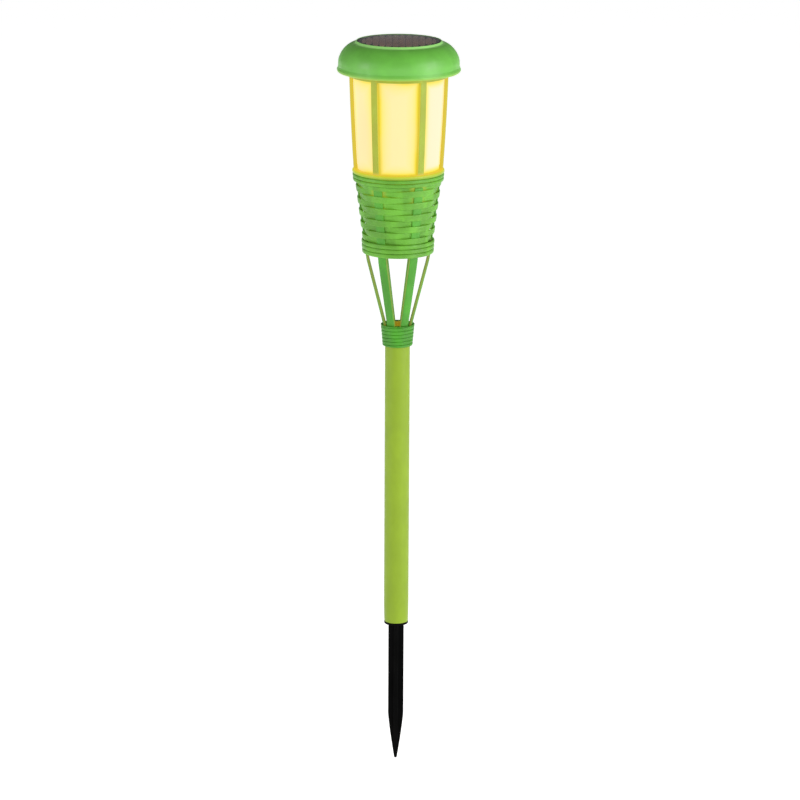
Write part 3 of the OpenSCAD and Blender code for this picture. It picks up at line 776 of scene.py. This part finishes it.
def strut(i):
    """A curved strut, with painted lamp light on its inner face and its sides, and faint painted fill
    light where the weave covers it.
    """
    z = np.concatenate([
        np.linspace(strut_foot, collar_top, 10), np.linspace(collar_top, basket_z, 26)[1:],
        np.linspace(basket_z, strut_top, 18)[1:],
    ])
    soften = np.linspace(-3 * MM, 3 * MM, 7)
    around = np.clip(z[:, None] + soften, strut_foot, strut_top)
    face = np.array([np.mean([strut_face(h) for h in heights]) for heights in around])
    strut_w_top = 2 * high("strut_1").y
    width = np.interp(z, [collar_top, basket_z, strut_top], [STRUT_W_LOW, STRUT_W_MID, strut_w_top])
    width = width - 0.1 * MM + ripple(z * 30, 60 + i, 0.06 * MM)
    thick = np.interp(z, [bend_z, weave_z], [STRUT_T, STRUT_T_TOP])
    shrink = np.ones(len(z))
    shrink[[0, -1]] = 0.86
    outline = rounded_box(1.0, 1.0, power=4.2, count=32)
    halves = np.stack([thick / 2 * shrink, width / 2 * shrink ** 0.3], axis=-1)
    outlines = outline[None] * halves[:, None]
    outlines[..., 0] -= outlines[..., 1] ** 2 / (2 * face[:, None])
    mesh = rising_sweep(f"strut_blade_{i}", face, z, thick, outlines)
    co = points_of(mesh)
    under_face = off_axis(co) - np.interp(co[:, 2], z, face)
    # Painted lamp light on the inner face and the sides, set by height.
    inner = np.interp(under_face, [-1.8 * MM, -0.6 * MM], [0.4, 0])
    side = np.interp(np.abs(co[:, 1]) / np.interp(co[:, 2], z, halves[:, 1]), [0.93, 0.98], [0, 1])
    lit = np.interp(co[:, 2], [collar_top, basket_z, weave_z + 3 * MM], [0.38, 0.46, 0.14])
    # Faint painted fill light over the strut's recesses in the weave.
    weave_fill = np.interp(co[:, 2], [basket_z, weave_z + 6 * MM], [0, 0.12])
    set_painted_glow(mesh, np.maximum(np.maximum(inner, side) * lit, weave_fill))
    mesh.transform(Matrix.Rotation((i - 1) * TURN / STRUT_COUNT, 4, "Z"))
    piece(mesh.name, mesh, "head", [f"strut_{i}"], strut_look)


def sleeve_hoop():
    """The ring inside the struts that the sleeve stands on."""
    lo, hi = boxes["floor_hoop"]
    inner = hi.x - 3 * MM
    mesh = lathe("sleeve_hoop", rounded([
        (inner, lo.z), (hi.x, lo.z), (hi.x, hi.z), (inner, hi.z),
    ], 0.5 * MM), 128)
    # Faint painted lamp light over the whole hoop.
    set_painted_glow(mesh, 0.15)
    piece("sleeve_hoop", mesh, "head", ["floor_hoop"], strut_look)


def rim_reed(name, node, seed):
    """One reed laid round the basket, uneven as a drawn strip is."""
    lo, hi = boxes[node]
    steps = 480
    angles = np.arange(steps) * TURN / steps
    half_up = (hi.z - lo.z) / 2
    across = REED_T / 2 * (1 + ripple(angles, seed, 0.05))
    radius = hi.x - REED_T / 2 - 0.08 * MM + ripple(angles, seed + 1, 0.09 * MM)
    z = (lo.z + hi.z) / 2 + ripple(angles, seed + 2, 0.07 * MM)
    outline = rounded_box(1.0, 1.0, power=2.3, count=24)
    halves = np.stack([across, np.full_like(angles, half_up - 0.08 * MM)], axis=-1)
    return ring_strip(name, angles, radius, z, outline[None] * halves[:, None])


def rims():
    """The reeds below and above the weave, with painted lamp light on the top of the upper ones."""
    for i in range(1, REED_COUNT + 1):
        for end, seed in (("bottom", 100), ("top", 200)):
            node = f"{end}_reed_{i}"
            mesh = rim_reed(f"{end}_rim_reed_{i}", node, seed + 10 * i)
            z = points_of(mesh)[:, 2]
            # Painted lamp light, strongest at the rim's top.
            lit = np.interp(z, [rim_top - 3.4 * MM, rim_top - 0.4 * MM], [0.04, 0.74])
            set_painted_glow(mesh, lit if end == "top" else 0)
            piece(mesh.name, mesh, "head", [node], weave_look)


def strip_outline(half_t, half_h):
    """Outline of a woven strip: flat, crowned, with three shallow flutes drawn into its face."""
    outline = rounded_box(half_t, half_h, power=3.2, count=32)
    flutes = 0.05 * MM * np.cos(outline[:, 1] / half_h * 1.5 * TURN)
    outline[:, 0] += np.sign(outline[:, 0]) * flutes * (np.abs(outline[:, 1]) < 0.75 * half_h)
    return outline


def woven_strip(i):
    """A strip that passes over and under the struts by turns, against the row below.

    It has painted glints of lamp light in the upper rows beside a strut that it runs behind, and faint
    painted fill light where it faces the sleeve and along its edges."""
    lo, hi = boxes[f"weave_row_{i}"]
    steps = 600
    angles = np.arange(steps) * TURN / steps
    middle_z = (lo.z + hi.z) / 2
    swing = (face_back + STRUT_T_TOP + SLIP) / 2
    side = 1 if i % 2 == 0 else -1
    wave = 1.5 * np.cos(angles * STRUT_COUNT / 2)
    wave = side * wave / (1 + np.abs(wave) ** 6) ** (1 / 6)
    outer = weave_out(middle_z) - STRIP_T / 2 - swing
    radius = outer + swing * wave + ripple(angles, 300 + i, 0.06 * MM) - 0.06 * MM
    z = middle_z + ripple(angles, 320 + i, 0.1 * MM)
    half_h = (hi.z - lo.z) / 2 * (1 + ripple(angles, 340 + i, 0.02)) - 0.06 * MM
    lap = 0.3 * MM * wave ** 2
    if 1 < i < ROW_COUNT:
        half_h = half_h + lap
    else:
        half_h = half_h + lap / 2
        z = z + (lap if i == 1 else -lap) / 2
    drawn_half_h = 2.5 * MM
    outline = strip_outline(STRIP_T / 2, drawn_half_h)
    scale = np.stack([np.ones_like(angles), half_h / drawn_half_h], axis=-1)
    outlines = outline[None] * scale[:, None]
    mesh = ring_strip(f"woven_strip_{i}", angles, radius, z, outlines, lean=weave_flare)
    co = points_of(mesh)
    a = np.arctan2(co[:, 1], co[:, 0])
    # Painted glints of lamp light where the strip runs behind a strut, strongest in the upper rows.
    under = np.interp(np.cos(a * STRUT_COUNT / 2) * side, [-1, -0.35, 0.2], [0.32, 0.256, 0])
    beside = np.interp(off_strut(co, reach("strut_1")), [3 * MM, 5 * MM, 14 * MM], [0.5, 1, 0])
    level = np.interp(middle_z, [weave_z + 18 * MM, weave_top], [0.0, 1.0])
    middle = np.interp(a % TURN, angles, radius, period=TURN)
    # Faint painted fill light on the face towards the sleeve and on the edges between rows.
    inner = np.interp(middle - off_axis(co), [0.1 * MM, 0.4 * MM], [0, 0.14])
    edge = np.interp(np.abs(co[:, 2] - middle_z), [1.9 * MM, 2.4 * MM], [0, 0.07])
    set_painted_glow(mesh, under * beside * level + np.maximum(inner, edge))
    piece(mesh.name, mesh, "head", [f"weave_row_{i}"], weave_look)


# ---- lantern ----

def cage_foot_ring():
    """A ring inside the top rim's reeds, with a thin flange on top that the bars stand on."""
    foot_in = high("top_reed_1").x - REED_T - 0.2 * MM
    head_in = high("top_reed_3").x - REED_T - 0.2 * MM
    foot_z = cage_z - (rim_top - low("top_reed_1").z - 0.8 * MM)
    flange_r, flange_top = cage_out(cage_z), cage_z + FOOT_RING_H
    return lathe("foot_ring", rounded([
        (foot_in - 2 * MM, foot_z), (foot_in, foot_z), (head_in, cage_z), (flange_r, cage_z, 0.1 * MM),
        (flange_r, flange_top, 0.2 * MM), (flange_r - BAR_T, flange_top, 0.2 * MM),
    ], 0.4 * MM), 192)


def cage_head_ring():
    """A ring that reaches up inside the cap."""
    ring_r = reach("lantern_cage")
    foot_z = cage_top - HEAD_RING_H
    return lathe("head_ring", rounded([
        (HEAD_RING_IN, foot_z), (ring_r, foot_z), (ring_r, cage_top), (HEAD_RING_IN, cage_top),
    ], 0.6 * MM), 192)


def latch_flanges():
    """The bayonet's flange inside the head ring, with a notch for each lug of the cap."""
    latch_z = cage_top - 4 * MM
    root_r = HEAD_RING_IN + 0.3 * MM
    flange = rounded([
        (LATCH_R, latch_z), (root_r, latch_z), (root_r, latch_z + LATCH_H), (LATCH_R, latch_z + LATCH_H),
    ], 0.25 * MM)
    lug_turn = TURN / LUG_COUNT
    notch = math.radians(21)
    return [
        sector("flange", flange, CAP_TWIST + (k + 0.5) * lug_turn, lug_turn - notch, 48)
        for k in range(LUG_COUNT)
    ]


def cage_lamplight(co):
    """Painted lamp light on the cage: faint on a bar's face, strong behind it, on its sides and at the
    foot.
    """
    on_face, behind, on_side, at_foot, under_cap = 0.36, 0.9, 0.78, 0.85, 0.5
    z = co[:, 2]
    depth = np.clip((cage_out(z) - off_axis(co)) / BAR_T, 0, 1)
    painted_light = on_face + (behind - on_face) * np.sqrt(depth)
    off_bar = off_strut(co, off_axis(co))
    side = np.interp(off_bar, BAR_W / 2 - np.array([0.6, 0.2]) * MM, [0, 1])
    on_bar = (off_bar < BAR_W / 2 + 0.3 * MM) & (z > cage_z + 1 * MM)
    painted_light = np.maximum(painted_light, on_side * np.where(on_bar, side, 0))
    painted_light = np.where(np.abs(z - cage_z) < 1 * MM, at_foot, painted_light)
    painted_light = np.where(z > cap_z - 5 * MM, np.minimum(painted_light, under_cap), painted_light)
    levels = [cage_z - 6 * MM, cage_z, cage_top - HEAD_RING_H, cage_top]
    return painted_light * np.interp(z, levels, [0.3, 1, 1, 0.5])


def lantern_cage():
    """Six bars between a foot ring and a head ring, with the bayonet's flange, in one moulding."""
    z = np.linspace(cage_z, cage_top - HEAD_RING_H / 2, 30)
    outline = rounded_box(BAR_T / 2, BAR_W / 2, power=6, count=36)
    outlines = np.tile(outline, (len(z), 1, 1))
    bar = rising_sweep("bar", cage_out(z), z, np.full_like(z, BAR_T), outlines)
    bars = [turned(bar, k * TURN / STRUT_COUNT) for k in range(STRUT_COUNT)]
    mesh = joined("cage_frame", [cage_foot_ring(), cage_head_ring()] + bars + latch_flanges())
    set_painted_glow(mesh, cage_lamplight(points_of(mesh)))
    piece("cage_frame", mesh, "head", ["lantern_cage"], cage_look)


def light_sleeve():
    """The frosted tube, narrow inside the basket and just inside the bars above it."""
    lo, hi = boxes["diffuser"]
    neck_z = weave_top - 1.2 * MM
    neck_r = weave_out(neck_z) - face_back - STRUT_T_TOP - STRIP_T - 0.5 * MM
    outside = [(reach("floor_hoop") - 1 * MM, lo.z), (neck_r, neck_z)]
    outside += [(cage_out(z) - BAR_T - 0.2 * MM, z) for z in np.linspace(cage_z + 1.5 * MM, hi.z, 16)]
    bend, end = 1.5 * MM, 0.4 * MM
    corners = [(r, z, bend) for r, z in outside]
    corners[0] = outside[0] + (end,)
    corners[-1] = outside[-1] + (end,)
    corners += [(r - SLEEVE_T, z, c) for r, z, c in reversed(corners)]
    mesh = lathe("light_sleeve", rounded(corners, end), 240)
    middle_r = cage_out(cage_z + 40 * MM) - BAR_T
    look = sleeve_look(cage_z + FOOT_RING_H, hi.z, middle_r)
    piece("light_sleeve", mesh, "head", ["diffuser"], look)


# ---- cap ----

def dome(r0, z0, r1, z1, count):
    """Quarter of a superellipse from a side at (r0, z0) to a top at (r1, z1)."""
    a = np.linspace(0, TURN / 4, count)
    c, s = np.maximum(np.cos(a), 0), np.maximum(np.sin(a), 0)
    return [
        (r1 + (r0 - r1) * p ** (2 / DOME_POWER), z0 + (z1 - z0) * q ** (2 / DOME_POWER), 0)
        for p, q in zip(c, s)
    ]


def cap_shell():
    """The domed shell, with a rolled lip, a seat for the panel and bosses for the base's screws."""
    lip_r = reach("cap_shell")
    side_r = lip_r - 1 * MM
    inner_r = side_r - SHELL_T
    shoulder_r = inner_r - 2 * MM
    rim_r = reach("panel_board") + 1.2 * MM
    seat_r = rim_r - 1 * MM
    seat_z = low("panel_gasket").z
    dome_z = cap_z + 8.4 * MM
    plate_top = low("cap_seal").z
    ledge_z = plate_top + 1.1 * MM
    outline = [
        (inner_r, cap_z, 0.3 * MM), (side_r - 0.2 * MM, cap_z, 0.3 * MM),
        (lip_r - 0.3 * MM, cap_z + 0.7 * MM, 0.8 * MM), (lip_r, cap_z + 1.5 * MM, 0.8 * MM),
        (lip_r, cap_z + 2.4 * MM, 0.8 * MM), (lip_r - 0.4 * MM, cap_z + 3.3 * MM, 0.9 * MM),
        (side_r, cap_z + 4.8 * MM, 2 * MM),
    ]
    outline += dome(side_r, dome_z, rim_r + 0.6 * MM, cap_top - RIM_H, 40)
    outline += [
        (rim_r - 0.5 * MM, cap_top, 0.35 * MM), (seat_r, cap_top, 0.25 * MM), (seat_r, seat_z, 0.2 * MM),
        (0, seat_z, 0), (0, seat_z - ROOF_T, 0),
    ]
    outline += reversed(dome(shoulder_r, ledge_z + 2.5 * MM, 34 * MM, seat_z - ROOF_T, 24))
    outline += [(shoulder_r, ledge_z, 0.3 * MM), (inner_r, ledge_z, 0.2 * MM)]
    shells = [lathe("shell", rounded(outline, 0.3 * MM), 256)]
    bore_r, boss_r = 1.3 * MM, 2.6 * MM
    boss_foot, boss_top = plate_top + SLIP, plate_top + 8.6 * MM
    boss = lathe("boss", rounded([
        (bore_r, boss_foot), (boss_r, boss_foot), (boss_r, boss_top), (bore_r, boss_top),
    ], 0.3 * MM), 32)
    boss.transform(Matrix.Translation((BOSS_RING, 0, 0)))
    first = math.radians(30)
    shells += [turned(boss, first + k * TURN / BOSS_COUNT) for k in range(BOSS_COUNT)]
    mesh = joined("cap_dome", shells)
    co = points_of(mesh)
    # Painted lamp light on the lip's underside, and inside the shell below the base plate.
    painted_light = np.interp(co[:, 2] - cap_z, np.array([0, 0.8, 2.2, 4]) * MM, [0.45, 0.22, 0.06, 0])
    inside = (off_axis(co) < inner_r + 0.2 * MM) & (co[:, 2] < plate_top)
    set_painted_glow(mesh, np.where(inside, 0.35, painted_light))
    piece("cap_dome", mesh, "cap", ["cap_shell"], cap_look())


def cell_strips():
    """Parallel strips of cell with cut corners, so that the dark board shows as notches at the edge."""
    lo, hi = boxes["solar_cells"]
    radius = hi.y
    pitch = 2 * radius / CELL_COUNT
    gap = 0.02 * pitch
    notch_w = 0.3 * pitch
    notch_l = 7 * MM
    meshes = []
    for k in range(CELL_COUNT):
        x0 = max(-radius + pitch * k + gap, -radius + 0.4 * pitch)
        x1 = min(-radius + pitch * (k + 1) - gap, radius - 0.4 * pitch)
        end = math.sqrt(radius ** 2 - max(abs(x0), abs(x1)) ** 2)
        corner = max(end - notch_l, end / 2)
        tips = [(x0, corner), (x0 + notch_w, end), (x1 - notch_w, end), (x1, corner)]
        outline = np.array([(x, -y) for x, y in tips] + [(x, y) for x, y in reversed(tips)])
        inset = outline + (outline.mean(0) - outline) * 0.01
        layers = [(inset, lo.z), (outline, lo.z + 0.05 * MM), (outline, hi.z - 0.08 * MM), (inset, hi.z)]
        grid = np.array([np.column_stack([o, np.full(len(o), z)]) for o, z in layers])
        meshes.append(skin("cell", grid, loop=False))
    mesh = joined("cell_strips", meshes)
    piece("cell_strips", mesh, "cap", ["solar_cells"], cell_look())


def panel_glaze():
    """Clear resin over the cells, down to the board at its edge."""
    lo, hi = boxes["panel_cover"]
    inner = hi.x - 1.4 * MM
    ceiling = high("solar_cells").z + SLIP
    mesh = lathe("panel_glaze", rounded([
        (0, ceiling, 0), (inner, ceiling), (inner, lo.z), (hi.x, lo.z),
        (hi.x, hi.z, 0.5 * MM), (0, hi.z, 0),
    ], 0.15 * MM), 192)
    piece("panel_glaze", mesh, "cap", ["panel_cover"], glaze_look())


def inner_parts():
    """The CAD nodes whose shapes are right take their finish here."""
    for part in frame["record"]["subparts"]:
        node = frame["nodes"][part["node"]]
        if not node.hide_render:
            for holder in node.material_slots:
                holder.material = INNER_LOOKS[part["material_slot"]]


# ---- stage, light and camera ----

def stage():
    """A white floor, level with the stake's tip."""
    half = 40.0
    mesh = bpy.data.meshes.new("studio_floor")
    corners = [(x * half, y * half, stake_tip) for x, y in ((-1, -1), (1, -1), (1, 1), (-1, 1))]
    mesh.from_pydata(corners, [], [(0, 1, 2, 3)])
    look = Look("floor_white", 0.9, {"Specular IOR Level": 0.0})
    look.drive("Base Color", (0.86, 0.86, 0.86, 1))
    look.drive("Emission Color", (1, 1, 1, 1))
    look.drive("Emission Strength", 0.72)
    mesh.materials.append(look.material)
    floor = placed("studio_floor", mesh)


def sky():
    """A pale backdrop, whose light is bright near the horizon in front and dark above and behind."""
    world = bpy.data.worlds.new("surround")
    bpy.context.scene.world = world
    world.use_nodes = True
    tree = world.node_tree
    place = tree.nodes.new("ShaderNodeTexCoord")
    parts = tree.nodes.new("ShaderNodeSeparateXYZ")
    tree.links.new(place.outputs["Generated"], parts.inputs[0])
    height = tree.nodes.new("ShaderNodeValToRGB")
    horizon, zenith = height.color_ramp.elements
    horizon.position, horizon.color = 0.3, (1, 1, 1, 1)
    zenith.position, zenith.color = 0.75, (0.34, 0.34, 0.34, 1)
    tree.links.new(parts.outputs["Z"], height.inputs[0])
    rear = tree.nodes.new("ShaderNodeMapRange")
    for name, value in {"From Min": 0.1, "From Max": 0.7, "To Min": 0.72, "To Max": 0.24}.items():
        rear.inputs[name].default_value = value
    tree.links.new(parts.outputs["Y"], rear.inputs["Value"])
    light = tree.nodes["Background"]
    tree.links.new(height.outputs["Color"], light.inputs["Color"])
    tree.links.new(rear.outputs[0], light.inputs["Strength"])
    backdrop = tree.nodes.new("ShaderNodeBackground")
    backdrop.inputs["Color"].default_value = (0.96, 0.96, 0.96, 1)
    seen = tree.nodes.new("ShaderNodeLightPath")
    choice = tree.nodes.new("ShaderNodeMixShader")
    sources = (seen.outputs["Is Camera Ray"], light.outputs[0], backdrop.outputs[0])
    for source, socket in zip(sources, choice.inputs):
        tree.links.new(source, socket)
    tree.links.new(choice.outputs[0], tree.nodes["World Output"].inputs["Surface"])


def aim(obj, target):
    """Turns a light or camera towards the target."""
    obj.rotation_mode = "QUATERNION"
    obj.rotation_quaternion = (Vector(target) - obj.location).to_track_quat("-Z", "Y")


def softbox(name, azimuth, elevation, distance, size, power, target):
    """A rectangular light at an angle from the front, right positive, and above the horizon."""
    a, e = math.radians(azimuth), math.radians(elevation)
    data = bpy.data.lights.new(name, "AREA")
    data.shape = "RECTANGLE"
    data.size, data.size_y = size
    data.energy = power
    obj = placed(name, data)
    obj.location = Vector(target) + distance * Vector(
        (math.sin(a) * math.cos(e), -math.cos(a) * math.cos(e), math.sin(e))
    )
    aim(obj, target)


def lights():
    """Three soft lights round the front, and the lamp's own glow down into the sleeve."""
    centre, lantern = (0, 0, 0.3), (0, 0, 0.46)
    softbox("right_softbox", 62, 16, 1.8, (1.1, 1.5), 27, centre)
    softbox("left_softbox", -66, 14, 2.0, (0.8, 1.4), 14, centre)
    softbox("front_fill", 6, 6, 2.6, (2.4, 0.7), 10, lantern)
    lamp = bpy.data.lights.new("lamp_glow", "SPOT")
    lamp.energy = 0.5
    lamp.color = (1.0, 0.62, 0.12)
    lamp.spot_size = math.radians(60)
    lamp.shadow_soft_size = 4 * MM
    placed("lamp_glow", lamp).location = (0, 0, low("reflector").z - 3 * MM)


def camera():
    """Looks from the front, about 15 degrees above level, with the photo's small tilt."""
    data = bpy.data.cameras.new("camera")
    data.lens = 168.4
    data.sensor_width = 36
    data.shift_x = 0.0035
    data.shift_y = 0.0016
    data.clip_end = 100
    obj = placed("camera", data)
    obj.location = (0, -3.2, 1.04)
    aim(obj, (0, 0, 0.205))
    roll = Matrix.Rotation(math.radians(0.29), 3, "Z").to_quaternion()
    obj.rotation_quaternion = obj.rotation_quaternion @ roll
    bpy.context.scene.camera = obj
    bpy.context.scene.view_settings.view_transform = "Standard"


ground_stake()
pole()
collar_cup()
collar_winding()
for number in range(1, STRUT_COUNT + 1):
    strut(number)
sleeve_hoop()
rims()
for number in range(1, ROW_COUNT + 1):
    woven_strip(number)
lantern_cage()
light_sleeve()
cap_shell()
cell_strips()
panel_glaze()
inner_parts()
stage()
sky()
lights()
camera()
